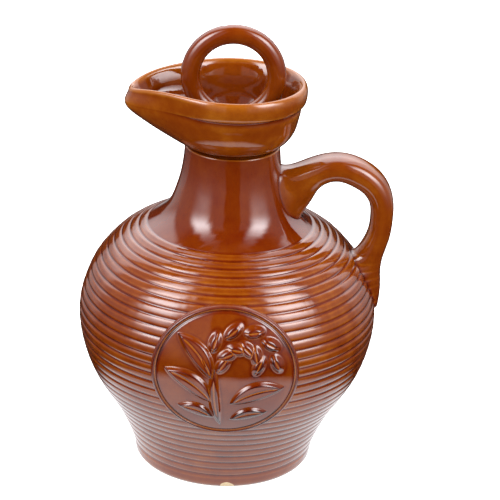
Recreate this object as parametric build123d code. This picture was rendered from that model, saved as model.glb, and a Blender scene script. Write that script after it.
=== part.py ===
from build123d import *
from math import cos, exp, hypot, pi, radians, sin
import os

# A glazed stoneware wine jug, about 0.8 litre: a reeded belly on a low foot, a smooth neck,
# a pouring bowl with a spout, a strap handle, a sprigged medallion and a ring-pull stopper.
# Millimetres. +Z is up, the foot stands on z = 0 round the origin, the spout points to -X,
# the handle to +X and the medallion faces -Y.

# ---- jug body ---------------------------------------------------------------------------
WALL = 5.0
FOOT_RADIUS = 40.4
FOOT_RING_INNER = 31.5
FOOT_RECESS = 2.5
FOOT_BAND_TOP = 6.0
FLOOR_TOP = 8.5
BELLY = [(40.75, 6.7), (42.6, 12), (45.6, 19), (49.7, 27), (55.35, 36), (60.9, 46), (64.5, 56),
         (66.4, 66), (66.3, 76), (63.65, 86), (60.0, 94), (54.7, 101), (49.8, 106),
         (43.9, 110), (37.0, 113.7)]
NECK = [(31.7, 117.1), (27.4, 122), (24.9, 128), (23.0, 134.5), (21.8, 141), (21.0, 149.9)]
NECK_INSIDE = [(31.0, 111.8), (27.2, 114.8), (22.6, 119.8), (18.6, 126.8), (15.6, 134.0)]
RIB_COUNT = 29
RIB_DEPTH = 0.75
NECK_TOP = 150.5
BORE_RADIUS = 14.0
BORE_BOTTOM = 140.0
SEAM_ABOVE_GROOVE = 0.3

# ---- pouring bowl -----------------------------------------------------------------------
# Section through the wall on the handle side, from the joint up the outside, over the rolled
# rim and down the inside to the mouth of the bore.
BOWL_SEAT_RADIUS = 19.3
BOWL_OUTSIDE = [(20.2, 151.3), (22.4, 152.7), (24.9, 154.9), (26.9, 157.9), (28.2, 161.5),
                (29.0, 165.2), (29.5, 168.5), (29.7, 170.4)]
BOWL_BAND = [(31.0, 171.2), (31.8, 172.8), (32.1, 175.3), (31.9, 177.6), (31.3, 179.0)]
BOWL_PLAIN_BAND = [(29.8, 171.2), (30.0, 172.8), (30.4, 175.3), (30.9, 177.6), (31.1, 179.0)]
BOWL_CREST = [(30.4, 179.7)]
BOWL_INSIDE = [(29.2, 179.3), (27.8, 177.4), (26.5, 174.6), (25.7, 171.3), (25.2, 168.0),
               (24.6, 164.6), (23.2, 161.2), (20.8, 158.7), (17.5, 157.4), (15.2, 156.9), (14.0, 156.0)]
SPOUT_HALF_ANGLE = 25.0
SPOUT_TIP_ROUNDING = 9.0
SPOUT_REACH = 18.0
SPOUT_CHANNEL_REACH = 14.5
SPOUT_HEIGHT = 20.0
SPOUT_LIP_LEAN = 3.6
SPOUT_DROP = 3.8
BAND_FADE_ANGLE = 62.0

# ---- handle -----------------------------------------------------------------------------
# x, z, half thickness and half width at stations along the middle of the strap
STRAP = [(20.0, 126.0, 12.5, 8.8), (27.3, 130.4, 10.1, 8.8), (33.3, 135.7, 7.3, 8.8),
         (40.1, 139.8, 5.9, 8.9), (48.0, 141.0, 5.8, 8.8), (55.7, 138.7, 6.0, 8.6),
         (62.7, 133.7, 5.8, 8.4), (66.6, 126.4, 5.4, 8.2), (67.3, 118.3, 5.1, 8.0),
         (66.4, 110.0, 5.1, 7.8), (63.6, 101.5, 5.6, 7.4), (61.2, 93.0, 6.8, 6.8),
         (60.2, 85.0, 7.7, 5.8), (59.3, 76.0, 7.3, 4.0)]
STRAP_SQUARENESS = 2.5

# ---- medallion --------------------------------------------------------------------------
MEDALLION_Z = 68.0
MEDALLION_HALF_WIDTH = 29.9
MEDALLION_HALF_HEIGHT = 28.7
GROOVE_HALF_WIDTH = 0.5
BEAD_WIDTH = 1.6
PANEL_RISE = 0.7
GROOVE_RISE = 0.35
BEAD_RISE = 1.2
MOTIF_RISE = 2.4

# ---- stopper ----------------------------------------------------------------------------
SHANK_BOTTOM = 131.0
SHANK_TIP_RADIUS = 11.0
SHANK_RADIUS = 12.9
SEAL_FLOOR_RADIUS = 11.5
SEAL_GROOVES = [(141.0, 145.0), (147.5, 151.5)]
CAP_UNDERSIDE = 157.6
CAP_RADIUS = 17.4
CAP_EDGE_TOP = 160.6
CAP_TOP = 163.2
RING_X = -0.6
RING_Z = 181.9
RING_RADIUS = 18.8
RING_ROD_RADIUS = 4.25
SEAL_FIT = 0.05
SEAL_END_GAP = 0.1
SEAL_LIP_RADIUS = 13.92
SEAL_WAIST_RADIUS = 13.1


def xz(point):
    """A radius and a height as a point in the XZ plane."""
    return Vector(point[0], 0, point[1])


def smooth(x):
    """Smooth step from 0 to 1."""
    x = min(max(x, 0.0), 1.0)
    return x * x * (3 - 2 * x)


def revolved(edges):
    """The solid that a closed outline in the XZ plane makes when it turns about Z."""
    return revolve(make_face(edges), Axis.Z)


BELLY_CURVE = Spline(*[xz(p) for p in BELLY])


def belly_point(along, out):
    """A point at a share of the belly's profile length, moved outwards by out."""
    place = BELLY_CURVE @ along
    tangent = BELLY_CURVE % along
    return place + Vector(tangent.Z, 0, -tangent.X) * out


def rib_edges():
    """One convex arc for each rib between two sharp grooves."""
    edges = []
    for i in range(RIB_COUNT):
        low = belly_point(i / RIB_COUNT, -RIB_DEPTH)
        crest = belly_point((i + 0.5) / RIB_COUNT, 0)
        high = belly_point((i + 1) / RIB_COUNT, -RIB_DEPTH)
        edges.append(ThreePointArc(low, crest, high))
    return edges


def outer_edges():
    """The outside of the jug from the foot's standing face to the neck's top edge."""
    round_foot = FOOT_RADIUS - 3.6
    first_groove = belly_point(0, -RIB_DEPTH)
    last_groove = belly_point(1, -RIB_DEPTH)
    stand = xz((round_foot, 0))
    heel = xz((FOOT_RADIUS, 3.6))
    band_top = xz((FOOT_RADIUS + 0.3, FOOT_BAND_TOP))
    bend = xz((FOOT_RADIUS - 3.6 * (1 - sin(pi / 4)), 3.6 * (1 - cos(pi / 4))))
    neck_points = [xz(p) for p in NECK]
    neck_edge = xz((NECK[-1][0] - 0.6, NECK_TOP))
    return [
        ThreePointArc(stand, bend, heel),
        Line(heel, band_top),
        Line(band_top, first_groove),
        *rib_edges(),
        Spline(last_groove, *neck_points),
        Line(neck_points[-1], neck_edge),
    ]


def filled_body():
    """The jug's outside with no cavity, to trim what is luted on to it."""
    outer = outer_edges()
    return revolved([
        Line((0, 0, 0), outer[0] @ 0),
        *outer,
        Line(outer[-1] @ 1, (0, 0, NECK_TOP)),
        Line((0, 0, NECK_TOP), (0, 0, 0)),
    ])


def jug_shell():
    """The whole thrown shell, from which the belly and the neck are cut apart at their seam."""
    outer = outer_edges()
    inner_belly = [belly_point(share / 12, -WALL) for share in range(1, 12)]
    inside = [Vector(33.0, 0, FLOOR_TOP), *inner_belly, *[xz(p) for p in NECK_INSIDE]]
    inside.append(xz((BORE_RADIUS, BORE_BOTTOM)))
    edges = [
        *outer,
        Line(outer[-1] @ 1, xz((BORE_RADIUS, NECK_TOP))),
        Line(xz((BORE_RADIUS, NECK_TOP)), inside[-1]),
        Spline(*reversed(inside), tangents=[(0, 0, -1), (-1, 0, 0)]),
        Line(inside[0], (0, 0, FLOOR_TOP)),
        Line((0, 0, FLOOR_TOP), (0, 0, FOOT_RECESS)),
        Line((0, 0, FOOT_RECESS), xz((FOOT_RING_INNER - 1, FOOT_RECESS))),
        Line(xz((FOOT_RING_INNER - 1, FOOT_RECESS)), xz((FOOT_RING_INNER, 0))),
        Line(xz((FOOT_RING_INNER, 0)), outer[0] @ 0),
    ]
    return revolved(edges)


def seam_plane():
    """The level just above the last groove, where the neck is luted on to the shoulder."""
    return Plane.XY.offset(belly_point(1, -RIB_DEPTH).Z + SEAM_ABOVE_GROOVE)


def spout_share(turn):
    """1 on the spout's middle line, falling to 0 round the bowl; turn is in radians."""
    rounding = radians(SPOUT_TIP_ROUNDING)
    spread = (turn * turn + rounding * rounding) ** 0.75 - rounding ** 1.5
    return exp(-spread / radians(SPOUT_HALF_ANGLE) ** 1.5)


def bowl_wall(turn):
    """Radius and height of the bowl's wall points, turn radians away from the spout."""
    share = spout_share(turn)
    fade = exp(-(turn / radians(BAND_FADE_ANGLE)) ** 4)
    ringed = BOWL_OUTSIDE + BOWL_BAND + BOWL_CREST + BOWL_INSIDE
    plain = BOWL_OUTSIDE + BOWL_PLAIN_BAND + BOWL_CREST + BOWL_INSIDE
    crest = len(BOWL_OUTSIDE) + len(BOWL_BAND)
    points = []
    for i, ((r_ringed, z), (r_plain, _)) in enumerate(zip(ringed, plain)):
        fullness = min(max((z - NECK_TOP) / SPOUT_HEIGHT, 0), 1) ** 1.3
        reach_out = SPOUT_REACH * sin(pi / 2 * fullness) - SPOUT_LIP_LEAN * smooth((z - 171) / 10)
        reach_in = SPOUT_CHANNEL_REACH * smooth((z - 158.5) / 14)
        inward = smooth((i - crest + 1.5) / 3)
        reach = reach_out * (1 - inward) + reach_in * inward
        radius = r_ringed * (1 - fade) + r_plain * fade + reach * share
        drop = SPOUT_DROP * share * share * smooth((z - 160) / 19.7)
        points.append((radius, z - drop))
    return points


def bowl_section(turn_degrees):
    """The closed outline of the bowl's wall in a plane through Z."""
    turn = radians(turn_degrees)
    plane = Plane((0, 0, 0), x_dir=(-cos(turn), -sin(turn), 0), z_dir=(-sin(turn), cos(turn), 0))

    def place(point):
        return plane.from_local_coords((point[0], point[1], 0))

    wall = bowl_wall(abs(turn) if abs(turn) < pi else 2 * pi - abs(turn))
    mouth = wall[-1][0]
    joint_inner = place((mouth, NECK_TOP))
    joint_outer = place((BOWL_SEAT_RADIUS, NECK_TOP))
    wall_points = [place(p) for p in wall]
    return Wire([
        Line(joint_inner, joint_outer).edge(),
        Spline(joint_outer, *wall_points).edge(),
        Line(wall_points[-1], joint_inner).edge(),
    ])


def pouring_bowl():
    """Half of the bowl is lofted past the plane of symmetry, cut on it and mirrored."""
    turns = [-16, -8, 0, 8, 16, 24, 32, 41, 52, 66, 82, 100, 120, 140, 160, 180, 200]
    swept = Solid.make_loft([bowl_section(t) for t in turns])
    half_space = Pos(0, -50, NECK_TOP + 20) * Box(200, 100, 100)
    half = swept & half_space
    bowl = half + mirror(half, Plane.XZ)
    bore = Pos(0, 0, NECK_TOP) * Cylinder(BORE_RADIUS, 40)
    return (bowl - bore).solids().sort_by(SortBy.VOLUME)[-1]


def strap_section(station, direction):
    """A superellipse across the strap, for one station and the strap's direction there."""
    x, z, half_thick, half_wide = station
    across = Vector(-direction[1], 0, direction[0])
    points = []
    for step in range(24):
        turn = 2 * pi * step / 24
        c, s = cos(turn), sin(turn)
        power = 2 / STRAP_SQUARENESS
        outwards = half_thick * abs(c) ** power * (1 if c > 0 else -1)
        sideways = half_wide * abs(s) ** power * (1 if s > 0 else -1)
        points.append(Vector(x, 0, z) + across * outwards + Vector(0, sideways, 0))
    return Wire([Spline(*points, periodic=True).edge()])


def handle(body):
    sections = []
    for i, station in enumerate(STRAP):
        before = STRAP[max(i - 1, 0)]
        after = STRAP[min(i + 1, len(STRAP) - 1)]
        dx, dz = after[0] - before[0], after[1] - before[1]
        length = hypot(dx, dz)
        sections.append(strap_section(station, (dx / length, dz / length)))
    strap = Solid.make_loft(sections)
    return (strap - body).solids().sort_by(SortBy.VOLUME)[-1]


def belly_solid(rise):
    """The solid inside the belly's smooth envelope, raised by rise."""
    points = [belly_point(i / 14, rise) for i in range(15)]
    return revolved([
        Line((0, 0, points[0].Z), points[0]),
        Spline(*points),
        Line(points[-1], (0, 0, points[-1].Z)),
        Line((0, 0, points[-1].Z), (0, 0, points[0].Z)),
    ])


def forward(sketch):
    """Push a sketch drawn about the medallion's centre out through the front of the belly."""
    front = Plane((0, -40, MEDALLION_Z), x_dir=(1, 0, 0), z_dir=(0, -1, 0))
    return extrude(front * sketch, 40)


def oval(grow):
    return Ellipse(MEDALLION_HALF_WIDTH + grow, MEDALLION_HALF_HEIGHT + grow)


def medallion_panel(body):
    """A thin clay disc pressed over the ribs, a groove round it and a bead outside that."""
    disc = forward(oval(-GROOVE_HALF_WIDTH)) & belly_solid(PANEL_RISE)
    groove = forward(oval(GROOVE_HALF_WIDTH + 0.1)) & belly_solid(GROOVE_RISE)
    bead_sketch = oval(GROOVE_HALF_WIDTH + BEAD_WIDTH) - oval(GROOVE_HALF_WIDTH)
    bead = forward(bead_sketch) & belly_solid(BEAD_RISE)
    panel = disc + groove + bead - body
    return panel.solids().sort_by(SortBy.VOLUME)[-1]


def leaf(base, tip, width, bend):
    """A pointed leaf between two points, bent sideways by bend."""
    ax, ay = base
    bx, by = tip
    length = hypot(bx - ax, by - ay)
    nx, ny = -(by - ay) / length, (bx - ax) / length
    mx, my = (ax + bx) / 2 + nx * bend, (ay + by) / 2 + ny * bend
    left = (mx + nx * width / 2, my + ny * width / 2)
    right = (mx - nx * width / 2, my - ny * width / 2)
    return make_face([ThreePointArc(base, left, tip), ThreePointArc(tip, right, base)])


def grain(x, y, angle):
    return Pos(x, y) * Rot(0, 0, angle) * Ellipse(GRAIN_HALF_LENGTH, GRAIN_HALF_WIDTH)


# The motif is a sprig of grain: a stem with leaves and a drooping ear, no lettering.
GRAIN_HALF_LENGTH = 4.8
GRAIN_HALF_WIDTH = 2.8
GRAIN_OFFSET = 3.8
GRAIN_SPLAY = 24.0
LEAVES = [((-1.5, -25.0), (-4.6, 5.0), 5.2, 1.2), ((-5.0, -12.0), (-26.0, 2.5), 9.2, -2.6),
          ((-5.6, 0.0), (-20.5, 18.5), 8.8, -2.4), ((2.4, -12.5), (25.5, -5.5), 9.4, 2.6),
          ((-4.4, -20.5), (-20.0, -15.5), 6.6, -1.8), ((2.6, -21.5), (18.5, -18.0), 6.4, 1.7)]
EAR_CENTRE = (6.8, 6.0)
EAR_RADIUS = 11.6
EAR_START = 172.0
EAR_STEP = 34.0
EAR_PAIRS = 6


def ear():
    """Pairs of grains along an arc that droops to the right."""
    grains = []
    for pair in range(EAR_PAIRS):
        turn = EAR_START - EAR_STEP * pair
        for side in (-1, 1):
            radius = EAR_RADIUS + side * GRAIN_OFFSET
            x = EAR_CENTRE[0] + radius * cos(radians(turn))
            y = EAR_CENTRE[1] + radius * sin(radians(turn))
            grains.append(grain(x, y, turn - 90 + side * GRAIN_SPLAY))
    return grains


def medallion_motif():
    shapes = [leaf(*spec) for spec in LEAVES] + ear()
    layer = belly_solid(MOTIF_RISE) - belly_solid(PANEL_RISE)
    solids = [piece for shape in shapes for piece in (forward(shape) & layer).solids()]
    return Compound(children=solids)


def ring_solid():
    flat = Torus(RING_RADIUS, RING_ROD_RADIUS)
    return Pos(RING_X, 0, RING_Z) * Rot(90, 0, 0) * flat


def stopper_plug(ring):
    """Tapered shank with two seal grooves, and a cap that seats in the bowl."""
    outline = [(0, SHANK_BOTTOM), (SHANK_TIP_RADIUS - 1.5, SHANK_BOTTOM),
               (SHANK_TIP_RADIUS, SHANK_BOTTOM + 1.5), (SHANK_RADIUS, SEAL_GROOVES[0][0] - 1)]
    for low, high in SEAL_GROOVES:
        outline += [(SHANK_RADIUS, low), (SEAL_FLOOR_RADIUS, low),
                    (SEAL_FLOOR_RADIUS, high), (SHANK_RADIUS, high)]
    outline += [(SHANK_RADIUS, CAP_UNDERSIDE), (CAP_RADIUS - 0.8, CAP_UNDERSIDE),
                (CAP_RADIUS, CAP_UNDERSIDE + 0.8), (CAP_RADIUS, CAP_EDGE_TOP - 0.8),
                (CAP_RADIUS - 0.8, CAP_EDGE_TOP)]
    points = [xz(p) for p in outline]
    sides = [Line(a, b) for a, b in zip(points, points[1:])]
    shoulder = xz((CAP_RADIUS * 0.6, CAP_EDGE_TOP + (CAP_TOP - CAP_EDGE_TOP) * 0.72))
    dome = ThreePointArc(points[-1], shoulder, (0, 0, CAP_TOP))
    axis = Line((0, 0, CAP_TOP), points[0])
    return revolved([*sides, dome, axis]) - ring


def seal_ring(low, high):
    """A silicone ring with two rounded lips and a waist between them."""
    inner = SEAL_FLOOR_RADIUS + SEAL_FIT
    bottom, top = low + SEAL_END_GAP, high - SEAL_END_GAP
    quarter = (top - bottom) / 4
    corners = [xz((inner, bottom)), xz((SEAL_WAIST_RADIUS, bottom)),
               xz((SEAL_WAIST_RADIUS, bottom + 2 * quarter)), xz((SEAL_WAIST_RADIUS, top)),
               xz((inner, top))]
    lips = [xz((SEAL_LIP_RADIUS, bottom + quarter)), xz((SEAL_LIP_RADIUS, top - quarter))]
    return revolved([
        Line(corners[0], corners[1]),
        ThreePointArc(corners[1], lips[0], corners[2]),
        ThreePointArc(corners[2], lips[1], corners[3]),
        Line(corners[3], corners[4]),
        Line(corners[4], corners[0]),
    ])


def build():
    body = filled_body()
    ring = ring_solid()
    shell = jug_shell()
    return {
        "jug_belly": split(shell, bisect_by=seam_plane(), keep=Keep.BOTTOM).solid(),
        "jug_neck": split(shell, bisect_by=seam_plane(), keep=Keep.TOP).solid(),
        "pouring_bowl": pouring_bowl(),
        "handle": handle(body),
        "medallion_panel": medallion_panel(body),
        "medallion_motif": medallion_motif(),
        "stopper_plug": stopper_plug(ring),
        "stopper_ring": ring,
        "seal_ring_lower": seal_ring(*SEAL_GROOVES[0]),
        "seal_ring_upper": seal_ring(*SEAL_GROOVES[1]),
    }


os.makedirs("parts", exist_ok=True)
for name, shape in build().items():
    export_step(shape, f"parts/{name}.step")
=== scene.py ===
import math

import bpy
import numpy as np
from mathutils import Matrix, Vector


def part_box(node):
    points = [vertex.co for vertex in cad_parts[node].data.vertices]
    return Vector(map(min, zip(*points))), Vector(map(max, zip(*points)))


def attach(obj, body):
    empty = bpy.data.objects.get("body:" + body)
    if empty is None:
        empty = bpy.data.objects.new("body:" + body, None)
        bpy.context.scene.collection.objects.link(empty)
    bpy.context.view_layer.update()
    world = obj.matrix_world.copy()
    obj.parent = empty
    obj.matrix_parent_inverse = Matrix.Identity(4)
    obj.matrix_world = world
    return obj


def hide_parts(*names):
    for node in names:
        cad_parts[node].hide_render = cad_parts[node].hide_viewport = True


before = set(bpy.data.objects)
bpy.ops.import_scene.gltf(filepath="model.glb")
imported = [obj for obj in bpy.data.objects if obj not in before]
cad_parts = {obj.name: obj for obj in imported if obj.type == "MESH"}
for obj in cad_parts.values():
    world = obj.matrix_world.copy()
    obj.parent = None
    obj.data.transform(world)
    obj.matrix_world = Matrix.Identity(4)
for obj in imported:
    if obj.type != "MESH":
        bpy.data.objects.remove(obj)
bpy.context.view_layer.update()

# The glazed faces of a stoneware wine jug. Shapes are worked out in millimetres round the
# origin of the foot and put into the meshes in metres. Radius and height pairs are points of
# a turned outline.
MM = 0.001


def box_mm(node):
    """The lowest and highest corners of a CAD node, in millimetres."""
    low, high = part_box(node)
    return np.array(low) / MM, np.array(high) / MM


# ---- sizes ------------------------------------------------------------------------------
NECK_BOX = box_mm("jug_neck")
PLUG_BOX = box_mm("stopper_plug")
RING_BOX = box_mm("stopper_ring")
PANEL_BOX = box_mm("medallion_panel")
SEAL_BOXES = {name: box_mm(name) for name in ("seal_ring_lower", "seal_ring_upper")}

WALL = 5.0
FOOT_RADIUS = 40.4
FOOT_ROUND = 3.6
FOOT_RING_INNER = 31.5
FOOT_RECESS = 2.5
FOOT_BAND_TOP = 6.0
FLOOR_TOP = 8.5
# The belly's smooth envelope, the neck above it, and the neck's inner wall down to the belly.
BELLY = [(40.75, 6.7), (42.6, 12), (45.6, 19), (49.7, 27), (55.35, 36), (60.9, 46), (64.5, 56),
         (66.4, 66), (66.3, 76), (63.65, 86), (60.0, 94), (54.7, 101), (49.8, 106),
         (43.9, 110), (37.0, 113.7)]
NECK = [(31.7, 117.1), (27.4, 122), (24.9, 128), (23.0, 134.5), (21.8, 141), (21.0, 149.9)]
NECK_INSIDE = [(31.0, 111.8), (27.2, 114.8), (22.6, 119.8), (18.6, 126.8), (15.6, 134.0)]
RIB_COUNT = 29
RIB_RELIEF = 0.42
RIB_FLATNESS = 3.6
GROOVE_SOFTNESS = 0.28
ROWS_PER_RIB = 10
JUG_COLUMNS = 216
GLAZE_CLEARANCE = 0.04
NECK_TOP = NECK_BOX[1][2]
BORE_RADIUS = 14.0
BORE_BOTTOM = 140.0
NECK_EDGE_ROUND = 0.6
NECK_POOL = 0.3

# The bowl's round section from its seat up the outside, over the rim and down the inside. The
# plain band takes the place of the rolled one along the spout.
BOWL_SEAT_RADIUS = 19.3
BOWL_OUTSIDE = [(20.2, 151.3), (22.4, 152.7), (24.9, 154.9), (26.9, 157.9), (28.2, 161.5),
                (29.0, 165.2), (29.5, 168.5), (29.7, 170.4)]
BOWL_BAND = [(31.0, 171.2), (31.8, 172.8), (32.1, 175.3), (31.9, 177.6), (31.3, 179.0)]
BOWL_PLAIN_BAND = [(29.8, 171.2), (30.0, 172.8), (30.4, 175.3), (30.9, 177.6), (31.1, 179.0)]
BOWL_CREST = [(30.4, 179.7)]
BOWL_INSIDE = [(29.2, 179.3), (27.8, 177.4), (26.5, 174.6), (25.7, 171.3), (25.2, 168.0),
               (24.6, 164.6), (23.2, 161.2), (20.8, 158.7), (17.5, 157.4), (15.2, 156.9),
               (14.0, 156.0)]
BOWL_ROWS = 190
BOWL_COLUMNS = 440
SPOUT_HALF_ANGLE = 25.0
SPOUT_TIP_ROUNDING = 9.0
SPOUT_REACH = 18.0
SPOUT_CHANNEL_REACH = 14.5
SPOUT_HEIGHT = 20.0
SPOUT_LIP_LEAN = 3.6
SPOUT_DROP = 3.8
BAND_FADE_ANGLE = 62.0

# Stations along the handle: x, z, half thickness and half width.
STRAP = [(20.0, 126.0, 12.5, 8.8), (27.3, 130.4, 10.1, 8.8), (33.3, 135.7, 7.3, 8.8),
         (40.1, 139.8, 5.9, 8.9), (48.0, 141.0, 5.8, 8.8), (55.7, 138.7, 6.0, 8.6),
         (62.7, 133.7, 5.8, 8.4), (66.6, 126.4, 5.4, 8.2), (67.3, 118.3, 5.1, 8.0),
         (66.4, 110.0, 5.1, 7.8), (63.6, 101.5, 5.6, 7.4), (61.2, 93.0, 6.8, 6.8),
         (60.2, 85.0, 7.7, 5.8), (59.3, 76.0, 7.3, 4.0)]
STRAP_SQUARENESS = 2.5
STRAP_ROWS = 300
STRAP_COLUMNS = 120
ROOT_DEPTH = 2.0
ROOT_FILLET = 2.4
ROOT_FILLET_REACH = 3.4
ROOT_POOL = 0.8
ROOT_POOL_REACH = 1.4
STRAP_POOL = -0.5

GROOVE_HALF_WIDTH = 0.5
BEAD_WIDTH = 1.6
PANEL_RISE = 0.7
GROOVE_RISE = 0.3
BEAD_RISE = 1.2
MOTIF_RISE = 2.4
SKIRT_DEPTH = 2.6
PANEL_ROWS = 152
PANEL_COLUMNS = 620
BEAD_COLUMNS = 480
BEAD_POOL = -0.2
MEDALLION_X = (PANEL_BOX[0][0] + PANEL_BOX[1][0]) / 2
MEDALLION_Z = (PANEL_BOX[0][2] + PANEL_BOX[1][2]) / 2
MEDALLION_HALF_WIDTH = (PANEL_BOX[1][0] - PANEL_BOX[0][0]) / 2 - BEAD_WIDTH - GROOVE_HALF_WIDTH
MEDALLION_HALF_HEIGHT = (PANEL_BOX[1][2] - PANEL_BOX[0][2]) / 2 - BEAD_WIDTH - GROOVE_HALF_WIDTH

GRAIN_HALF_LENGTH = 4.8
GRAIN_HALF_WIDTH = 2.8
GRAIN_OFFSET = 3.8
GRAIN_SPLAY = 24.0
# Leaves from the panel's middle: base, tip, width and how far the midrib bends aside.
LEAVES = [((-1.5, -25.0), (-4.6, 5.0), 5.2, 1.2), ((-5.0, -12.0), (-26.0, 2.5), 9.2, -2.6),
          ((-5.6, 0.0), (-20.5, 18.5), 8.8, -2.4), ((2.4, -12.5), (25.5, -5.5), 9.4, 2.6),
          ((-4.4, -20.5), (-20.0, -15.5), 6.6, -1.8), ((2.6, -21.5), (18.5, -18.0), 6.4, 1.7)]
EAR_CENTRE = (6.8, 6.0)
EAR_RADIUS = 11.6
EAR_START = 172.0
EAR_STEP = 34.0
EAR_PAIRS = 6
LEAF_CREASE = 0.22
GRAIN_FURROW = 0.14

RING_X = (RING_BOX[0][0] + RING_BOX[1][0]) / 2
RING_Z = (RING_BOX[0][2] + RING_BOX[1][2]) / 2
RING_ROD_RADIUS = (RING_BOX[1][1] - RING_BOX[0][1]) / 2
RING_RADIUS = (RING_BOX[1][0] - RING_BOX[0][0]) / 2 - RING_ROD_RADIUS
RING_UNEVENNESS = 0.08
NICK_ANGLE = 101.0
NICK_SIZE = 0.7
NICK_DEPTH = 0.35
RING_ROOT_POOL = 0.7
# Offset that draws the whole ring's glaze lighter: painted light for the brighter light that falls
# on the ring.
RING_PAINTED_LIGHT_POOL = -0.35

SHANK_BOTTOM = PLUG_BOX[0][2]
SHANK_TIP_RADIUS = 11.0
SHANK_RADIUS = 12.9
SEAL_FLOOR_RADIUS = 11.5
CAP_UNDERSIDE = 157.6
CAP_RADIUS = PLUG_BOX[1][0]
CAP_EDGE_TOP = 160.6
CAP_TOP = 163.2
CAP_EDGE_ROUND = 0.8
RING_SEAT_HALF_LENGTH = 10.0
RING_FILLET = 1.3
RING_FILLET_REACH = 1.1
SEAL_LIP_RADIUS = 13.9
SEAL_WAIST_RADIUS = 13.1
SEAL_SLACK = 0.05
TURNED_COLUMNS = 224


# ---- curves -----------------------------------------------------------------------------
def smooth(x):
    """Smooth step: three x squared less two x cubed, held between 0 and 1."""
    x = np.clip(x, 0.0, 1.0)
    return x * x * (3 - 2 * x)


def spline(knots, values, at):
    """Natural cubic spline: in each span a cubic whose end curvatures make the slopes meet."""
    knots = np.asarray(knots, float)
    values = np.asarray(values, float).reshape(len(knots), -1)
    step = np.diff(knots)[:, None]
    slope = np.diff(values, axis=0) / step
    system = np.eye(len(knots))
    i = np.arange(1, len(knots) - 1)
    system[i, i - 1] = step[:-1, 0]
    system[i, i] = 2 * (step[:-1, 0] + step[1:, 0])
    system[i, i + 1] = step[1:, 0]
    bend = np.zeros_like(values)
    bend[1:-1] = 6 * np.diff(slope, axis=0)
    bend = np.linalg.solve(system, bend)
    at = np.asarray(at, float)
    j = np.clip(np.searchsorted(knots, at) - 1, 0, len(knots) - 2)
    left = (at - knots[j])[:, None]
    width = step[j]
    right = width - left
    return ((bend[j] * right ** 3 + bend[j + 1] * left ** 3) / (6 * width)
            + (values[j] / width - bend[j] * width / 6) * right
            + (values[j + 1] / width - bend[j + 1] * width / 6) * left)


def lengths(points):
    """Distance from the first point along the chords to each point."""
    return np.concatenate([[0.0], np.cumsum(np.linalg.norm(np.diff(points, axis=0), axis=1))])


def curve_through(points, count):
    """Spline through the points by chord length, at even steps of its own length."""
    points = np.asarray(points, float)
    chord = lengths(points)
    dense = spline(chord, points, np.linspace(0, chord[-1], 4000))
    return even(dense, lengths(dense), count)


def even(rows, run, count):
    """Rows of numbers along a line, worked out again at even steps of its running length."""
    at = np.linspace(0, run[-1], count)
    return np.stack([np.interp(at, run, column) for column in rows.T], axis=1)


def arc(centre, radius, start, end, count):
    """Points on a circle, from one angle to another in degrees."""
    turn = np.radians(np.linspace(start, end, count))
    return np.stack([centre[0] + radius * np.cos(turn), centre[1] + radius * np.sin(turn)], axis=1)


def line(start, end, count):
    """Points on a straight line."""
    return np.linspace(start, end, count)


def chain(*runs):
    """Join runs of points end to end and drop points that fall on the one before."""
    points = np.concatenate([np.asarray(run, float) for run in runs])
    gap = np.linalg.norm(np.diff(points, axis=0), axis=1)
    return points[np.concatenate([[True], gap > 1e-6])]


# ---- meshes -----------------------------------------------------------------------------
def turned(outline, columns):
    """Surface of revolution: x = r cos a, y = r sin a, z = height, a once round."""
    turn = np.linspace(0, 2 * np.pi, columns, endpoint=False)
    radius, height = outline[:, 0, None], outline[:, 1, None]
    return np.stack([radius * np.cos(turn), radius * np.sin(turn),
                     height + 0 * turn], axis=2)


def neighbours(grid, steps, axis, wrap):
    """The grid moved both ways along an axis, held at its ends unless it wraps."""
    if wrap:
        return np.roll(grid, steps, axis), np.roll(grid, -steps, axis)
    index = np.arange(grid.shape[axis])
    last = grid.shape[axis] - 1
    return (np.take(grid, np.clip(index - steps, 0, last), axis),
            np.take(grid, np.clip(index + steps, 0, last), axis))


def hollows(grid, wrap_rows, row_steps, column_steps):
    """Curvature across and along the grid, in 1/mm: above 0 in a hollow, below 0 on an edge.

    Along each way it is twice the height of the neighbours' mean over the point, along the
    normal, divided by the square of their distance.
    """
    before, after = neighbours(grid, 1, 0, wrap_rows)
    left, right = neighbours(grid, 1, 1, True)
    normal = np.cross(right - left, after - before)
    normal /= np.maximum(np.linalg.norm(normal, axis=2, keepdims=True), 1e-9)
    total = np.zeros(grid.shape[:2])
    for axis, steps, wrap in ((0, row_steps, wrap_rows), (1, column_steps, True)):
        a, b = neighbours(grid, steps, axis, wrap)
        lift = ((a + b) / 2 - grid) * normal
        reach = (np.sum((a - grid) ** 2, axis=2) + np.sum((b - grid) ** 2, axis=2)) / 2
        total += 2 * lift.sum(axis=2) / np.maximum(reach, 1e-3)
    return total


def grid_faces(rows, columns, wrap_rows):
    """Quads between neighbouring rows and columns, and a fan to a pole at each open end."""
    i = np.arange(rows if wrap_rows else rows - 1)[:, None]
    j = np.arange(columns)[None, :]
    after_i = (i + 1) % rows
    after_j = (j + 1) % columns
    quads = np.stack([i * columns + j, i * columns + after_j,
                      after_i * columns + after_j, after_i * columns + j], axis=2)
    faces = quads.reshape(-1, 4).tolist()
    if not wrap_rows:
        ring, after = j[0], (j[0] + 1) % columns
        first = np.stack([np.full(columns, rows * columns), after, ring], axis=1)
        top = (rows - 1) * columns
        last = np.stack([np.full(columns, rows * columns + 1), top + ring, top + after], axis=1)
        faces += first.tolist() + last.tolist()
    return faces


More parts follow.
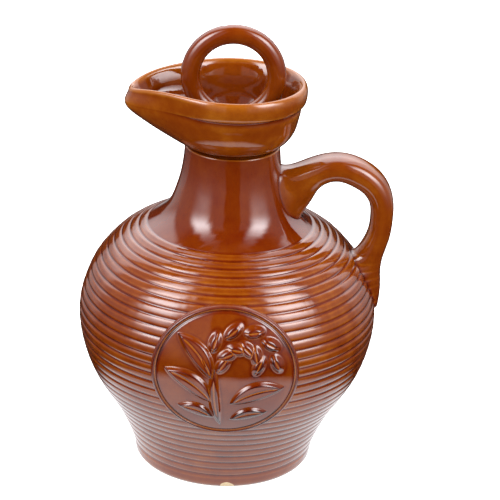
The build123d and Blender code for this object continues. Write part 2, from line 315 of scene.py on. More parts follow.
def piece_from_grid(name, grid, body, nodes, finishes, wrap_rows=False, row_steps=2,
                    column_steps=2, pool=None):
    """A closed smooth piece from a grid of points in mm that goes round along its columns.

    Its pool attribute, from -1 to 1, says where glaze gathers: the tanh of one and a half
    times the hollowness, plus the piece's own offset, which may differ from point to point.
    """
    grid = np.asarray(grid, float)
    rows, columns = grid.shape[:2]
    gathered = np.tanh(1.5 * hollows(grid, wrap_rows, row_steps, column_steps))
    if pool is not None:
        gathered = np.clip(gathered + pool, -1, 1)
    points = grid.reshape(-1, 3)
    values = gathered.reshape(-1)
    if not wrap_rows:
        points = np.concatenate([points, grid[0].mean(0)[None], grid[-1].mean(0)[None]])
        values = np.concatenate([values, [gathered[0].mean(), gathered[-1].mean()]])
    mesh = bpy.data.meshes.new(name)
    mesh.from_pydata((points * MM).tolist(), [], grid_faces(rows, columns, wrap_rows))
    mesh.update()
    attribute = mesh.attributes.new("pool", "FLOAT", "POINT")
    attribute.data.foreach_set("value", values.astype(np.float32))
    mesh.shade_smooth()
    for finish in finishes:
        mesh.materials.append(finish)
    piece = bpy.data.objects.new(name, mesh)
    bpy.context.scene.collection.objects.link(piece)
    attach(piece, body)
    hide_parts(*nodes)
    return piece


# ---- node recipes -----------------------------------------------------------------------
class Value:
    """A shader socket that takes part in sums: each operation adds one Math node."""

    def __init__(self, recipe, socket):
        self.recipe = recipe
        self.socket = socket

    def math(self, operation, *others):
        inputs = {i: value for i, value in enumerate((self, *others))}
        return self.recipe.node("ShaderNodeMath", {"operation": operation}, inputs, "Value")

    def __add__(self, other):
        return self.math("ADD", other)

    def __sub__(self, other):
        return self.math("SUBTRACT", other)

    def __mul__(self, other):
        return self.math("MULTIPLY", other)

    def __truediv__(self, other):
        return self.math("DIVIDE", other)

    def __pow__(self, other):
        return self.math("POWER", other)

    def __rsub__(self, other):
        return (self * -1.0).math("ADD", other)

    __radd__ = __add__
    __rmul__ = __mul__

    def between(self, low, high):
        """Smooth step from 0 at low to 1 at high."""
        return self.recipe.node(
            "ShaderNodeMapRange", {"interpolation_type": "SMOOTHSTEP"},
            {"Value": self, "From Min": low, "From Max": high}, "Result")


class Recipe:
    """Builds the nodes of one finish, floor or sky in a node tree."""

    def __init__(self, owner):
        owner.use_nodes = True
        self.owner = owner
        self.tree = owner.node_tree
        self.tree.nodes.clear()

    def node(self, kind, settings=None, inputs=None, output=None):
        """Add a node, set it up, feed its sockets and hand back one output as a Value."""
        made = self.tree.nodes.new(kind)
        for key, value in (settings or {}).items():
            if key == "stops":
                self.set_stops(made.color_ramp, value)
            else:
                setattr(made, key, value)
        for key, value in (inputs or {}).items():
            if isinstance(value, Value):
                self.tree.links.new(value.socket, made.inputs[key])
            else:
                made.inputs[key].default_value = value
        return Value(self, made.outputs[output]) if output is not None else made

    @staticmethod
    def set_stops(ramp, stops):
        """The first two stops move the ramp's own elements, and the others are added."""
        for i, (place, colour) in enumerate(stops):
            element = ramp.elements[i] if i < 2 else ramp.elements.new(place)
            element.position = place
            element.color = (*colour, 1.0)

    def place(self):
        return self.node("ShaderNodeTexCoord", output="Object")

    def noise(self, scale, detail=2.0, roughness=0.5, distortion=0.0):
        return self.node("ShaderNodeTexNoise", {}, {
            "Vector": self.place(), "Scale": scale, "Detail": detail, "Roughness": roughness,
            "Distortion": distortion}, "Fac")

    def ramp(self, factor, stops):
        return self.node("ShaderNodeValToRGB", {"stops": stops}, {"Fac": factor}, "Color")

    def mix(self, factor, first, second):
        return self.node("ShaderNodeMix", {"data_type": "RGBA"},
                         {0: factor, 6: first, 7: second}, 2)

    def bump(self, height, distance, strength=1.0):
        return self.node("ShaderNodeBump", {}, {
            "Height": height, "Distance": distance, "Strength": strength}, "Normal")

    def finish_with(self, shader):
        self.node("ShaderNodeOutputMaterial", {}, {"Surface": shader})
        return self.owner


def rgb(red, green, blue):
    return (red, green, blue, 1.0)


# Glaze colours from the thinnest film, on sharp edges, to the deepest pool.
THIN_GLAZE = (0.290, 0.080, 0.0050)
EDGE_GLAZE = (0.200, 0.0385, 0.0013)
MID_GLAZE = (0.150, 0.0210, 0.0006)
DEEP_GLAZE = (0.120, 0.0110, 0.0003)
POOLED_GLAZE = (0.030, 0.0016, 0.0002)
BARE_CLAY = (0.72, 0.56, 0.34)
SHADED_CLAY = (0.62, 0.46, 0.26)


def caramel_glaze(name, bare_foot=False, dulled=0.0):
    """Amber glaze over pale stoneware: light where it runs thin on edges, dark where it pools.

    Its thickness is half the pool attribute and 0.45, with a slow drift over the piece and a
    fine mottle. A few dark specks lie in it, and its surface waves faintly.
    """
    recipe = Recipe(bpy.data.materials.new(name))
    pool = recipe.node("ShaderNodeAttribute", {"attribute_name": "pool"}, None, "Fac")
    drift = recipe.noise(30.0, 3.0, 0.6, 0.8)
    mottle = recipe.noise(170.0, 4.0, 0.65)
    grain = recipe.noise(1400.0, 2.0, 0.5)
    thickness = pool * 0.5 + 0.45 + (drift - 0.5) * 0.65 + (mottle - 0.5) * 0.45
    colour = recipe.ramp(thickness, [(0.0, THIN_GLAZE), (1.0, POOLED_GLAZE), (0.26, EDGE_GLAZE),
                                     (0.5, MID_GLAZE), (0.76, DEEP_GLAZE)])
    specks = grain.between(0.70, 0.76)
    colour = recipe.mix(specks * 0.55, colour, rgb(*POOLED_GLAZE))
    roughness = 0.015 + dulled + mottle * 0.03
    waves = recipe.noise(62.0, 2.0, 0.45)
    height = drift * 0.4 + waves * 0.26 + mottle * 0.03
    normal = recipe.bump(height, 0.0011)
    if bare_foot:
        bare = bare_clay_mask(recipe, mottle)
        colour = recipe.mix(bare, colour, bare_clay_colour(recipe, grain))
        roughness = roughness * (1 - bare) + bare * 0.8
    shader = recipe.node("ShaderNodeBsdfPrincipled", {}, {
        "Base Color": colour, "Roughness": roughness, "IOR": 1.6, "Coat Weight": 0.35,
        "Coat Roughness": 0.03, "Normal": normal}, "BSDF")
    return recipe.finish_with(shader)


WORN_MIDDLE = (2.6, 1.2)
WORN_HALF_SIZE = (3.4, 2.4)


def bare_clay_colour(recipe, grain):
    """Pale buff clay, shaded by its grain."""
    return recipe.ramp(grain, [(0.3, SHADED_CLAY), (0.7, BARE_CLAY)])


def bare_clay_mask(recipe, mottle):
    """1 on the standing ring, under the foot and on a worn patch at the front of the foot.

    The patch is an oval in x and z: the sum of the squares of the offsets from its middle,
    each over its half size, is under 1. The mottle makes both edges uneven.
    """
    axes = recipe.node("ShaderNodeSeparateXYZ", {}, {"Vector": recipe.place()})
    x, y, z = (Value(recipe, axes.outputs[i]) / MM for i in range(3))
    uneven = (mottle - 0.5) * 2.2
    under = 1 - (z + uneven).between(0.5, 1.1)
    across = (x - WORN_MIDDLE[0]) / WORN_HALF_SIZE[0]
    up = (z - WORN_MIDDLE[1]) / WORN_HALF_SIZE[1]
    worn = 1 - (across ** 2.0 + up ** 2.0 + uneven * 0.5).between(0.8, 1.05)
    front = 1 - y.between(-37.0, -35.0)
    return under.math("MAXIMUM", worn * front)


def silicone_finish(name):
    """Satin milky silicone with a faint moulding mottle and dust."""
    recipe = Recipe(bpy.data.materials.new(name))
    cloud = recipe.noise(260.0, 3.0)
    dust = recipe.noise(2200.0, 2.0).between(0.62, 0.72)
    colour = recipe.ramp(cloud, [(0.3, (0.70, 0.68, 0.62)), (0.7, (0.82, 0.80, 0.75))])
    colour = recipe.mix(dust * 0.35, colour, rgb(0.9, 0.89, 0.86))
    shader = recipe.node("ShaderNodeBsdfPrincipled", {}, {
        "Base Color": colour, "Roughness": 0.34 + cloud * 0.2, "IOR": 1.41,
        "Subsurface Weight": 0.15, "Subsurface Scale": 0.002,
        "Normal": recipe.bump(cloud, 0.00005)}, "BSDF")
    return recipe.finish_with(shader)


def floor_finish():
    """Pale lit table: matt white with a faint cloud."""
    recipe = Recipe(bpy.data.materials.new("pale_floor"))
    cloud = recipe.noise(3.0, 2.0)
    colour = recipe.ramp(cloud, [(0.3, (0.90, 0.90, 0.90)), (0.7, (0.93, 0.93, 0.93))])
    shader = recipe.node("ShaderNodeBsdfPrincipled", {}, {
        "Base Color": colour, "Roughness": 0.9, "Emission Color": colour,
        "Emission Strength": 0.75}, "BSDF")
    return recipe.finish_with(shader)


# ---- jug shell --------------------------------------------------------------------------
BELLY_CURVE = curve_through(BELLY, 3000)
BELLY_RUN = np.linspace(0, 1, len(BELLY_CURVE))


def belly_point(share, out):
    """Points at shares of the belly's profile length, moved outwards by out."""
    slope = np.gradient(BELLY_CURVE, axis=0)
    slope /= np.linalg.norm(slope, axis=1, keepdims=True)
    outwards = np.stack([slope[:, 1], -slope[:, 0]], axis=1)
    place = [np.interp(share, BELLY_RUN, BELLY_CURVE[:, i]) for i in range(2)]
    aim = [np.interp(share, BELLY_RUN, outwards[:, i]) for i in range(2)]
    return np.stack([place[0] + aim[0] * out, place[1] + aim[1] * out], axis=-1)


def rib_height(share):
    """Height of the ribs from 0 in a groove to 1 on a crest.

    One less the distance from the crest to a power, with the groove's bottom rounded by glaze:
    the root of its square and the softness squared, less the softness, scaled back to 1.
    """
    from_crest = np.abs(2 * ((share * RIB_COUNT) % 1.0) - 1)
    height = 1 - from_crest ** RIB_FLATNESS
    soft = GROOVE_SOFTNESS
    return (np.sqrt(height ** 2 + soft ** 2) - soft) / (math.sqrt(1 + soft ** 2) - soft)


def ribbed_belly():
    """The belly's profile, sunk below its envelope by the relief where the ribs are low."""
    share = np.linspace(0, 1, RIB_COUNT * ROWS_PER_RIB + 1)
    return belly_point(share, RIB_RELIEF * (rib_height(share) - 1) - GLAZE_CLEARANCE)


def jug_outside():
    """Half section of the outside: the foot's round and band, the ribs and the neck."""
    heel = (FOOT_RADIUS - FOOT_ROUND, FOOT_ROUND)
    ribs = ribbed_belly()
    return chain(
        arc(heel, FOOT_ROUND, -90, 0, 9),
        line((FOOT_RADIUS, FOOT_ROUND), (FOOT_RADIUS + 0.3, FOOT_BAND_TOP), 5),
        ribs,
        curve_through([ribs[-1], *NECK], 76),
    )


OUTSIDE = jug_outside()


def jug_outline():
    """Half section of the jug from the middle of its underside, up the outside and back in."""
    edge = OUTSIDE[-1][0] - NECK_EDGE_ROUND
    inner_belly = belly_point(np.arange(1, 12) / 12, -WALL)
    inside = curve_through([(33.0, FLOOR_TOP), *inner_belly, *NECK_INSIDE,
                            (BORE_RADIUS, BORE_BOTTOM)], 44)
    return chain(
        line((2.0, FOOT_RECESS), (FOOT_RING_INNER - 1, FOOT_RECESS), 6),
        line((FOOT_RING_INNER - 0.8, FOOT_RECESS - 0.6), (FOOT_RING_INNER - 0.1, 0.15), 3),
        line((FOOT_RING_INNER + 0.2, 0.0), (FOOT_RADIUS - FOOT_ROUND, 0.0), 5),
        OUTSIDE,
        arc((edge, NECK_TOP - NECK_EDGE_ROUND), NECK_EDGE_ROUND, 10, 90, 5),
        line((edge - NECK_EDGE_ROUND, NECK_TOP), (BORE_RADIUS, NECK_TOP), 4),
        line((BORE_RADIUS, NECK_TOP - 0.5), (BORE_RADIUS, BORE_BOTTOM + 1), 4),
        inside[::-1],
        line((31.0, FLOOR_TOP), (2.0, FLOOR_TOP), 5),
    )


def body_radius(height):
    """Radius of the jug's outside at a height, with its ribs."""
    return np.interp(height, OUTSIDE[:, 1], OUTSIDE[:, 0])


def jug_shell(finish):
    """The ribbed belly and the neck in one turned skin, with thicker glaze on the neck."""
    grid = turned(jug_outline(), JUG_COLUMNS)
    return piece_from_grid("jug_shell", grid, "jug", ["jug_belly", "jug_neck"], [finish],
                           row_steps=2, column_steps=1,
                           pool=NECK_POOL * smooth((grid[..., 2] - 112) / 6))


# ---- pouring bowl -----------------------------------------------------------------------
def spout_share(turn):
    """1 on the spout's middle line, falling to 0 round the bowl: exp of less the angle to 1.5."""
    rounding = math.radians(SPOUT_TIP_ROUNDING)
    spread = (turn * turn + rounding * rounding) ** 0.75 - rounding ** 1.5
    return np.exp(-spread / math.radians(SPOUT_HALF_ANGLE) ** 1.5)


def bowl_wall(turn):
    """Radius and height of the wall for each angle from the spout.

    The round section is pulled out by the spout's share. Outside, the pull grows with the sine
    of the height over the neck, less a little where the lip leans back in, and inside it is a
    smooth step. The rolled band fades into the plain one towards the spout, as exp of less the
    fourth power of the angle, and the lip drops by the square of the spout's share.
    """
    start = [(BOWL_SEAT_RADIUS, NECK_TOP)]
    ringed = np.array(start + BOWL_OUTSIDE + BOWL_BAND + BOWL_CREST + BOWL_INSIDE)
    plain = np.array(start + BOWL_OUTSIDE + BOWL_PLAIN_BAND + BOWL_CREST + BOWL_INSIDE)
    knots = lengths(ringed)
    at = np.linspace(0, knots[-1], 1500)
    both = spline(knots, np.column_stack([ringed, plain[:, 0]]), at)
    step = np.interp(at, knots, np.arange(-1, len(ringed) - 1))
    both = np.column_stack([both, step])
    section = even(both, lengths(both[:, :2]), BOWL_ROWS)
    r_ringed, z, r_plain, step = section.T[:, :, None]
    crest = len(BOWL_OUTSIDE) + len(BOWL_BAND)
    share = spout_share(turn)[None, :]
    fade = np.exp(-(turn / math.radians(BAND_FADE_ANGLE)) ** 4)[None, :]
    fullness = np.clip((z - NECK_TOP) / SPOUT_HEIGHT, 0, 1) ** 1.3
    lean = SPOUT_LIP_LEAN * smooth((z - 171) / 10)
    reach_out = SPOUT_REACH * np.sin(np.pi / 2 * fullness) - lean
    reach_in = SPOUT_CHANNEL_REACH * smooth((z - 158.5) / 14)
    inward = smooth((step - crest + 1.5) / 3)
    reach = reach_out * (1 - inward) + reach_in * inward
    radius = r_ringed * (1 - fade) + r_plain * fade + reach * share
    drop = SPOUT_DROP * share * share * smooth((z - 160) / 19.7)
    return radius, z - drop


def bowl_pool(turn, height):
    """Pool offset of the bowl: glaze is thin outside, thinner on the rolled rim, even inside."""
    rows = np.arange(len(height))[:, None]
    inside = smooth((rows - np.argmax(height, axis=0)) / 16)
    rolled = smooth((height - 168) / 7) * (1 - 0.7 * spout_share(np.abs(turn)))
    return 0.06 * inside - 0.26 * (1 - inside) - 0.2 * rolled


def pouring_bowl(finish):
    """The bowl's wall carried round from the spout, with its short bore and its seat."""
    turn = np.linspace(-np.pi, np.pi, BOWL_COLUMNS, endpoint=False)
    radius, height = bowl_wall(np.abs(turn))
    bore_height = np.linspace(155.2, NECK_TOP, 5)[:, None] + 0 * turn
    seat_radius = np.linspace(BORE_RADIUS + 0.4, BOWL_SEAT_RADIUS - 0.3, 5)[:, None] + 0 * turn
    radius = np.concatenate([radius, BORE_RADIUS + 0 * bore_height, seat_radius])
    height = np.concatenate([height, bore_height, NECK_TOP + 0 * seat_radius])
    grid = np.stack([-radius * np.cos(turn), -radius * np.sin(turn), height], axis=2)
    return piece_from_grid("pouring_bowl_glazed", grid, "jug", ["pouring_bowl"], [finish],
                           wrap_rows=True, row_steps=3, column_steps=3,
                           pool=bowl_pool(turn, height))


# ---- handle -----------------------------------------------------------------------------
def handle(finish):
    """A superellipse carried along a spline through the strap's stations.

    Near the jug each section swells by a fillet that falls off with the distance to the wall,
    and points deeper in the wall than the root's depth are held at that depth.
    """
    stations = np.array(STRAP)
    knots = lengths(stations[:, :2])
    at = np.linspace(0, knots[-1], STRAP_ROWS)
    x, z, thick, wide = spline(knots, stations, at).T
    run = np.gradient(np.stack([x, z]), axis=1)
    run /= np.linalg.norm(run, axis=0)
    turn = np.linspace(0, 2 * np.pi, STRAP_COLUMNS, endpoint=False)
    power = 2 / STRAP_SQUARENESS
    out = np.sign(np.cos(turn)) * np.abs(np.cos(turn)) ** power
    side = np.sign(np.sin(turn)) * np.abs(np.sin(turn)) ** power
    offset = np.stack([-run[1][:, None] * thick[:, None] * out, wide[:, None] * side,
                       run[0][:, None] * thick[:, None] * out], axis=2)
    middle = np.stack([x - GLAZE_CLEARANCE, 0 * x, z], axis=1)[:, None, :]
    grid = middle + offset
    length = np.linalg.norm(offset, axis=2, keepdims=True)
    for _ in range(2):
        distance = np.hypot(grid[..., 0], grid[..., 1]) - body_radius(grid[..., 2])
        swell = ROOT_FILLET * np.exp(-np.maximum(distance, 0) / ROOT_FILLET_REACH)
        grid = middle + offset * (1 + swell[..., None] / length)
    from_axis = np.hypot(grid[..., 0], grid[..., 1])
    floor = body_radius(grid[..., 2]) - ROOT_DEPTH
    held = np.maximum(from_axis, floor) / from_axis
    grid[..., :2] *= held[..., None]
    near = np.exp(-np.maximum(from_axis - floor - ROOT_DEPTH, 0) / ROOT_POOL_REACH)
    return piece_from_grid("handle_glazed", grid, "jug", ["handle"], [finish],
                           row_steps=3, column_steps=3, pool=ROOT_POOL * near + STRAP_POOL)


# ---- medallion --------------------------------------------------------------------------
def front_of_belly(x, z, rise):
    """Points on the front of the belly's smooth envelope, raised by rise.

    The radius grows by the rise over the cosine of the profile's slope, and y is less the
    square root of radius squared less x squared.
    """
    slope = np.gradient(BELLY_CURVE[:, 0], BELLY_CURVE[:, 1])
    lean = np.interp(z, BELLY_CURVE[:, 1], slope)
    radius = np.interp(z, BELLY_CURVE[:, 1], BELLY_CURVE[:, 0]) + rise * np.hypot(1, lean)
    return np.stack([x, -np.sqrt(radius ** 2 - x ** 2), z], axis=-1)


def leaf_relief(x, y, base, tip, width, bend):
    """Share of the relief's height on a pointed leaf with a crease along its bent midrib.

    The place along the chord gives the midrib's offset and the half width, both as parabolas.
    """
    base, tip = np.array(base), np.array(tip)
    length = np.linalg.norm(tip - base)
    along = (tip - base) / length
    share = ((x - base[0]) * along[0] + (y - base[1]) * along[1]) / length
    arch = np.clip(4 * share * (1 - share), 0, 1)
    off = -(x - base[0]) * along[1] + (y - base[1]) * along[0] - bend * arch
    half = width / 2 * arch ** 0.8
    ends = np.maximum(np.maximum(-share, share - 1), 0) * length
    inside = np.where(ends > 0, -ends, 0) + half - np.abs(off)
    relief = smooth((inside + 0.35) / 2.1)
    crease = LEAF_CREASE * np.exp(-(off / 0.45) ** 2) * smooth(arch * 1.6 - 0.2)
    return np.clip(relief - crease * (relief > 0.5), 0, 1), inside


def grain_relief(x, y, centre_x, centre_y, angle):
    """Share of the relief's height on one rounded grain with a shallow furrow.

    The grain is an ellipse, and its height is a smooth step of the way in from its outline.
    """
    turn = math.radians(angle)
    along = (x - centre_x) * math.cos(turn) + (y - centre_y) * math.sin(turn)
    off = -(x - centre_x) * math.sin(turn) + (y - centre_y) * math.cos(turn)
    reach = np.hypot(along / GRAIN_HALF_LENGTH, off / GRAIN_HALF_WIDTH)
    inside = (1 - reach) * GRAIN_HALF_WIDTH
    relief = smooth((inside + 0.3) / 2.0) * 0.96
    furrow = GRAIN_FURROW * np.exp(-(off / 0.4) ** 2) * smooth(inside / 0.8)
    return relief - furrow, inside


def motif_relief(x, y):
    """Share of the motif's height over the panel, and how far inside an outline a point is.

    Both are the highest among the leaves and the grains, which stand in pairs either side of an
    arc, each turned out from it by the splay.
    """
    layers = [leaf_relief(x, y, *leaf) for leaf in LEAVES]
    for pair in range(EAR_PAIRS):
        turn = EAR_START - EAR_STEP * pair
        for side in (-1, 1):
            radius = EAR_RADIUS + side * GRAIN_OFFSET
            layers.append(grain_relief(x, y, EAR_CENTRE[0] + radius * math.cos(math.radians(turn)),
                                       EAR_CENTRE[1] + radius * math.sin(math.radians(turn)),
                                       turn - 90 + side * GRAIN_SPLAY))
    relief = np.max([layer[0] for layer in layers], axis=0)
    inside = np.max([layer[1] for layer in layers], axis=0)
    return relief, inside


def medallion_field(finish):
    """The panel with its relief: a round grid over an oval, closed behind inside the wall."""
    turn = np.linspace(0, 2 * np.pi, PANEL_COLUMNS, endpoint=False)[None, :]
    share = np.linspace(0.006, 1, PANEL_ROWS)[:, None]
    across = share * MEDALLION_HALF_WIDTH * np.cos(turn)
    up = share * MEDALLION_HALF_HEIGHT * np.sin(turn)
    relief, inside = motif_relief(across, up)
    from_edge = (1 - share) * MEDALLION_HALF_HEIGHT + 0 * turn
    rise = GROOVE_RISE + (PANEL_RISE - GROOVE_RISE) * smooth(from_edge / 0.9)
    rise = rise + (MOTIF_RISE - PANEL_RISE) * relief
    front = front_of_belly(MEDALLION_X + across, MEDALLION_Z + up, rise)
    back_share = np.array([1.0, 0.7, 0.4, 0.1])[:, None]
    back = front_of_belly(MEDALLION_X + back_share * MEDALLION_HALF_WIDTH * np.cos(turn),
                          MEDALLION_Z + back_share * MEDALLION_HALF_HEIGHT * np.sin(turn),
                          -SKIRT_DEPTH)
    gather = 0.9 * np.exp(-((inside + 0.25) / 0.7) ** 2) + 0.8 * np.exp(-(from_edge / 0.6) ** 2)
    pool = np.concatenate([gather, np.zeros((len(back), PANEL_COLUMNS))])
    return piece_from_grid("medallion_relief_glazed", np.concatenate([front, back]), "jug",
                           ["medallion_motif"], [finish], row_steps=3, column_steps=3, pool=pool)


def medallion_bead(finish):
    """The bead round the panel: a rounded section carried round the oval."""
    section = chain(
        line((-0.05, -SKIRT_DEPTH), (-0.05, GROOVE_RISE - 0.1), 3),
        curve_through([(0.05, GROOVE_RISE), (0.5, 0.55), (0.9, 1.03), (1.3, BEAD_RISE),
                       (1.7, 1.02), (2.05, 0.45), (2.25, -0.3)], 18),
        line((2.3, -0.9), (2.3, -SKIRT_DEPTH), 3),
        line((1.6, -SKIRT_DEPTH), (0.6, -SKIRT_DEPTH), 2),
    )
    turn = np.linspace(0, 2 * np.pi, BEAD_COLUMNS, endpoint=False)[None, :]
    grow, rise = section[:, 0, None], section[:, 1, None]
    grow = np.minimum(grow, BEAD_WIDTH + GROOVE_HALF_WIDTH)
    across = (MEDALLION_HALF_WIDTH + grow) * np.cos(turn)
    up = (MEDALLION_HALF_HEIGHT + grow) * np.sin(turn)
    grid = front_of_belly(MEDALLION_X + across, MEDALLION_Z + up, rise + 0 * turn)
    return piece_from_grid("medallion_bead_glazed", grid, "jug", ["medallion_panel"], [finish],
                           wrap_rows=True, row_steps=2, column_steps=2, pool=BEAD_POOL)


# ---- stopper ----------------------------------------------------------------------------
def stopper_ring(finish):
    """A torus that stands in the XZ plane, with the slight unevenness of a rolled coil.

    Two sines round the ring thin its rod, and a small nick near its top is a Gaussian dent.
    The glaze pools darker near the cap, and a lighter glaze all over the ring is painted light.
    """
    around = np.linspace(0, 2 * np.pi, 360, endpoint=False)[:, None]
    about = np.linspace(0, 2 * np.pi, 96, endpoint=False)[None, :]
    uneven = 0.5 + 0.25 * np.sin(3 * around + 0.7) + 0.25 * np.sin(5 * around + about)
    rod = RING_ROD_RADIUS - RING_UNEVENNESS * uneven
    from_nick = np.hypot((around - math.radians(NICK_ANGLE)) * RING_RADIUS,
                         ((about + np.pi) % (2 * np.pi) - np.pi + 0.3) * rod)
    rod = rod - NICK_DEPTH * np.exp(-(from_nick / NICK_SIZE) ** 2)
    reach = RING_RADIUS + rod * np.cos(about)
    grid = np.stack([RING_X + reach * np.cos(around), -rod * np.sin(about) + 0 * around,
                     RING_Z + reach * np.sin(around)], axis=2)
    above_cap = grid[..., 2] - CAP_TOP
    # Darker where glaze pools at the cap, plus a lighter offset all over that is painted light.
    pool = RING_ROOT_POOL * np.exp(-np.maximum(above_cap, 0) / 1.5) + RING_PAINTED_LIGHT_POOL
    return piece_from_grid("stopper_ring_glazed", grid, "stopper", ["stopper_ring"], [finish],
                           wrap_rows=True, row_steps=2, column_steps=4, pool=pool)


def stopper_plug(finish):
    """Turned shank with two seal grooves and a domed cap, raised in a fillet round the ring.

    The fillet falls off as exp of less the distance from the ring's seat over its reach.
    """
    shank = [(SHANK_TIP_RADIUS - 1.5, SHANK_BOTTOM), (SHANK_TIP_RADIUS, SHANK_BOTTOM + 1.5),
             (SHANK_RADIUS, SEAL_BOXES["seal_ring_lower"][0][2] - 1.1)]
    for low, high in SEAL_BOXES.values():
        bottom, top = low[2] - 0.1, high[2] + 0.1
        shank += [(SHANK_RADIUS, bottom), (SEAL_FLOOR_RADIUS, bottom), (SEAL_FLOOR_RADIUS, top),
                  (SHANK_RADIUS, top)]
    shank += [(SHANK_RADIUS, CAP_UNDERSIDE), (CAP_RADIUS - CAP_EDGE_ROUND, CAP_UNDERSIDE)]
    edges = [line(a, b, max(2, int(math.dist(a, b) / 0.5))) for a, b in zip(shank, shank[1:])]
    shoulder = (CAP_RADIUS * 0.6, CAP_EDGE_TOP + (CAP_TOP - CAP_EDGE_TOP) * 0.72)
    cap = curve_through([(CAP_RADIUS - 0.5, CAP_EDGE_TOP - 0.05), shoulder,
                         (1.5, CAP_TOP - 0.02)], 60)
    edge = CAP_RADIUS - CAP_EDGE_ROUND
    outline = chain(
        line((1.5, SHANK_BOTTOM), shank[0], 5),
        *edges,
        arc((edge, CAP_UNDERSIDE + CAP_EDGE_ROUND), CAP_EDGE_ROUND, -80, 0, 6),
        arc((edge, CAP_EDGE_TOP - CAP_EDGE_ROUND), CAP_EDGE_ROUND, 0, 60, 6),
        cap,
    )
    grid = turned(outline, TURNED_COLUMNS)
    x, y = grid[..., 0] - RING_X, grid[..., 1]
    beside = np.maximum(np.abs(y) - RING_ROD_RADIUS, 0)
    beyond = np.maximum(np.abs(x) - RING_SEAT_HALF_LENGTH, 0)
    fillet = RING_FILLET * np.exp(-np.hypot(beside, beyond) / RING_FILLET_REACH)
    on_top = smooth((grid[..., 2] - CAP_EDGE_TOP + 0.2) / 0.8)
    grid[..., 2] += fillet * on_top
    return piece_from_grid("stopper_plug_glazed", grid, "stopper", ["stopper_plug"], [finish],
                           row_steps=2, column_steps=2)


def seal_ring(name, box, finish):
    """A silicone ring with two rounded lips and a waist, turned about Z."""
    low, high = box
    inner = SEAL_FLOOR_RADIUS + SEAL_SLACK
    quarter = (high[2] - low[2]) / 4
    middle = low[2] + 2 * quarter
    lip = SEAL_LIP_RADIUS - quarter
    outline = chain(
        line((inner, low[2]), (lip, low[2]), 5),
        arc((lip, low[2] + quarter), quarter, -90, 70, 12),
        [(SEAL_WAIST_RADIUS, middle)],
        arc((lip, high[2] - quarter), quarter, -70, 90, 12),
        line((lip, high[2]), (inner, high[2]), 5),
        line((inner, high[2] - 0.5), (inner, low[2] + 0.5), 4),
    )
    return piece_from_grid(name + "_moulded", turned(outline, TURNED_COLUMNS), "seal", [name],
                           [finish], wrap_rows=True)


# ---- room, in metres and degrees --------------------------------------------------------
FLOOR_HALF = 4.0
TABLE_RADIUS = 0.125
TABLE_CENTRE = (0.0, -0.055, 0.0001)
TABLE_GLOW = 1.4
TENT_WHITE = rgb(0.97, 0.97, 1.0)
GAP_CENTRE = 3.6
GAP_HALF = 16.2
WALL_GLOW = 0.34
SOFTBOX_TURN = 60.0
SOFTBOX_RISE = 37.0
SOFTBOX_SPREAD = 18.0
SOFTBOX_HEIGHT = 20.0
SOFTBOX_GLOW = 9.5
SOFTBOX_FILL = 6.0
EVEN_GLOW = 0.88
EVEN_GLOW_ABOVE = 0.4
TOP_LAMP_ENERGY = 4.0
CAMERA_PITCH = 23.307
CAMERA_YAW = 0.536
CAMERA_ROLL = 2.143
CAMERA_PLACE = (0.0, -0.9996, 0.5304)
CAMERA_LENS = 175.13


def floor():
    """A flat white table that the camera sees, and that neither mirrors nor tints the glaze."""
    corners = [(-FLOOR_HALF, -FLOOR_HALF, 0), (FLOOR_HALF, -FLOOR_HALF, 0),
               (FLOOR_HALF, FLOOR_HALF, 0), (-FLOOR_HALF, FLOOR_HALF, 0)]
    mesh = bpy.data.meshes.new("floor")
    mesh.from_pydata(corners, [], [(0, 1, 2, 3)])
    mesh.materials.append(floor_finish())
    ground = bpy.data.objects.new("floor", mesh)
    bpy.context.scene.collection.objects.link(ground)
    ground.visible_glossy = False
    ground.visible_diffuse = False


def table_glow():
    """What the glaze mirrors of the lit table: a disc of light that fades out at its edge."""
    recipe = Recipe(bpy.data.materials.new("table_glow"))
    from_middle = recipe.node("ShaderNodeVectorMath", {"operation": "DISTANCE"},
                              {0: recipe.place(), 1: TABLE_CENTRE}, "Value")
    lit = 1 - (from_middle / TABLE_RADIUS).between(0.8, 1.1)
    shader = recipe.node("ShaderNodeEmission", {}, {
        "Color": recipe.mix(lit, rgb(0, 0, 0), TENT_WHITE), "Strength": TABLE_GLOW}, "Emission")
    recipe.finish_with(shader)
    turn = np.linspace(0, 2 * np.pi, 96, endpoint=False)
    reach = 1.15 * TABLE_RADIUS
    rim = np.stack([reach * np.cos(turn), reach * np.sin(turn), 0 * turn], axis=1)
    mesh = bpy.data.meshes.new("table_glow")
    mesh.from_pydata((TABLE_CENTRE + rim).tolist(), [], [list(range(len(rim)))])
    mesh.materials.append(recipe.owner)
    disc = bpy.data.objects.new("table_glow", mesh)
    bpy.context.scene.collection.objects.link(disc)
    disc.visible_camera = False
    disc.visible_diffuse = False
    disc.visible_shadow = False


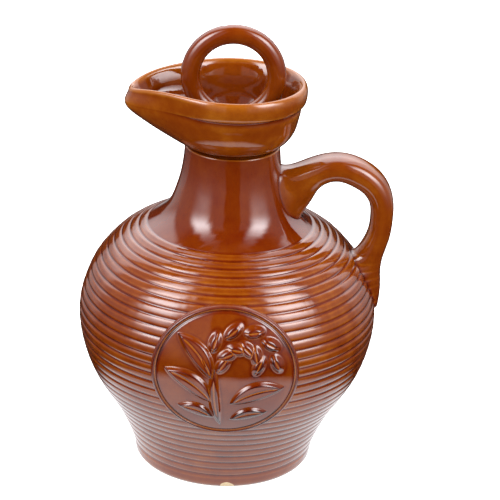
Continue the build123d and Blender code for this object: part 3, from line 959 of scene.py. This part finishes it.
def studio_light():
    """A white tent round the jug, given as light by direction.

    Turn is the angle from -Y towards +X, rise is the angle over the horizon, both in degrees.
    The glaze mirrors a dim front wall with a narrow dark gap, a bright back wall with a dark
    strip low down behind the jug, and two soft lamps, left and right of the front. Each lamp is
    exp of less the square of its rise and the fourth power of its turn. All other rays get a
    nearly even light, which shows the glaze's colour without shaping it. A lamp over the open
    top adds to that but does not show in the glaze, and the camera sees plain white.
    """
    world = bpy.data.worlds.new("studio")
    bpy.context.scene.world = world
    recipe = Recipe(world)
    aim = recipe.node("ShaderNodeTexCoord", output="Generated")
    axes = recipe.node("ShaderNodeSeparateXYZ", {}, {"Vector": aim})
    x, y, z = (Value(recipe, axes.outputs[i]) for i in range(3))
    turn = x.math("ARCTAN2", y * -1.0) * math.degrees(1)
    rise = z.math("ARCSINE") * math.degrees(1)
    to_side = turn.math("ABSOLUTE")
    beside_gap = (turn - GAP_CENTRE).math("ABSOLUTE").between(GAP_HALF - 2, GAP_HALF + 2)
    walls = beside_gap * rise.between(-24, 4) * (1 - rise.between(40, 60)) * WALL_GLOW
    behind = to_side.between(112, 122) * (1 - rise.between(62, 84))
    far_back = to_side.between(148, 153)
    back = behind * far_back * (rise.between(7, 13) + rise.between(10, 34) * 2.2)
    near_back = rise.between(-24, -6) * 0.5 + rise.between(0, 28) * 1.5
    back = back + behind * (1 - far_back) * near_back
    far_table = to_side.between(165, 173) * rise.between(-24, -14) * (1 - rise.between(-4, 4)) * 0.5
    lamp_rise = ((rise - SOFTBOX_RISE) / SOFTBOX_HEIGHT) ** 2.0
    lamp_turn = ((to_side - SOFTBOX_TURN) / SOFTBOX_SPREAD) ** 2.0
    lamps = ((lamp_rise + lamp_turn ** 2.0) * -1.0).math("EXPONENT") * beside_gap
    mirrored = 0.02 + walls * (1 - behind) + back + far_table + lamps * SOFTBOX_GLOW
    even_light = EVEN_GLOW + rise.between(-60, 30) * EVEN_GLOW_ABOVE + lamps * SOFTBOX_FILL
    shining = recipe.node("ShaderNodeLightPath", output="Is Glossy Ray")
    light = even_light + (mirrored - even_light) * shining
    seen = recipe.node("ShaderNodeLightPath", output="Is Camera Ray")
    glow = recipe.node("ShaderNodeBackground", {}, {
        "Color": TENT_WHITE, "Strength": light}, "Background")
    plain = recipe.node("ShaderNodeBackground", {}, {"Color": rgb(1, 1, 1), "Strength": 1.0},
                        "Background")
    sky = recipe.node("ShaderNodeMixShader", {}, {0: seen, 1: glow, 2: plain}, "Shader")
    recipe.node("ShaderNodeOutputWorld", {}, {"Surface": sky})
    lamp = bpy.data.lights.new("top_lamp", "AREA")
    lamp.shape = "DISK"
    lamp.size = 0.9
    lamp.energy = TOP_LAMP_ENERGY
    over = bpy.data.objects.new("top_lamp", lamp)
    over.location = (0.0, -0.1, 1.1)
    over.visible_glossy = False
    bpy.context.scene.collection.objects.link(over)


def camera():
    """A long lens in front of the jug, above it and tilted down, rolled by two degrees."""
    pitch, yaw, roll = np.radians([CAMERA_PITCH, CAMERA_YAW, CAMERA_ROLL]).tolist()
    ahead = Vector((math.sin(yaw) * math.cos(pitch), math.cos(yaw) * math.cos(pitch),
                    -math.sin(pitch)))
    level = ahead.cross(Vector((0, 0, 1))).normalized()
    upright = level.cross(ahead)
    right = level * math.cos(roll) + upright * math.sin(roll)
    up = upright * math.cos(roll) - level * math.sin(roll)
    data = bpy.data.cameras.new("camera")
    data.lens = CAMERA_LENS
    data.sensor_width = 36.0
    data.clip_end = 20.0
    eye = bpy.data.objects.new("camera", data)
    turned_frame = Matrix((right, up, -ahead)).transposed().to_4x4()
    eye.matrix_world = Matrix.Translation(CAMERA_PLACE) @ turned_frame
    bpy.context.scene.collection.objects.link(eye)
    bpy.context.scene.camera = eye


def build():
    """Make the finishes, then every piece."""
    glaze = caramel_glaze("caramel_glaze")
    foot_glaze = caramel_glaze("caramel_glaze_over_bare_foot", bare_foot=True)
    bead_glaze = caramel_glaze("caramel_glaze_worn_on_bead", dulled=0.2)
    silicone = silicone_finish("milky_silicone")
    glazed = [jug_shell(foot_glaze), pouring_bowl(glaze), handle(glaze), medallion_field(glaze),
              medallion_bead(bead_glaze), stopper_ring(glaze), stopper_plug(glaze)]
    for name, box in SEAL_BOXES.items():
        seal_ring(name, box, silicone)


build()
floor()
table_glow()
studio_light()
camera()
bpy.context.scene.view_settings.view_transform = "Standard"

bpy.context.view_layer.update()
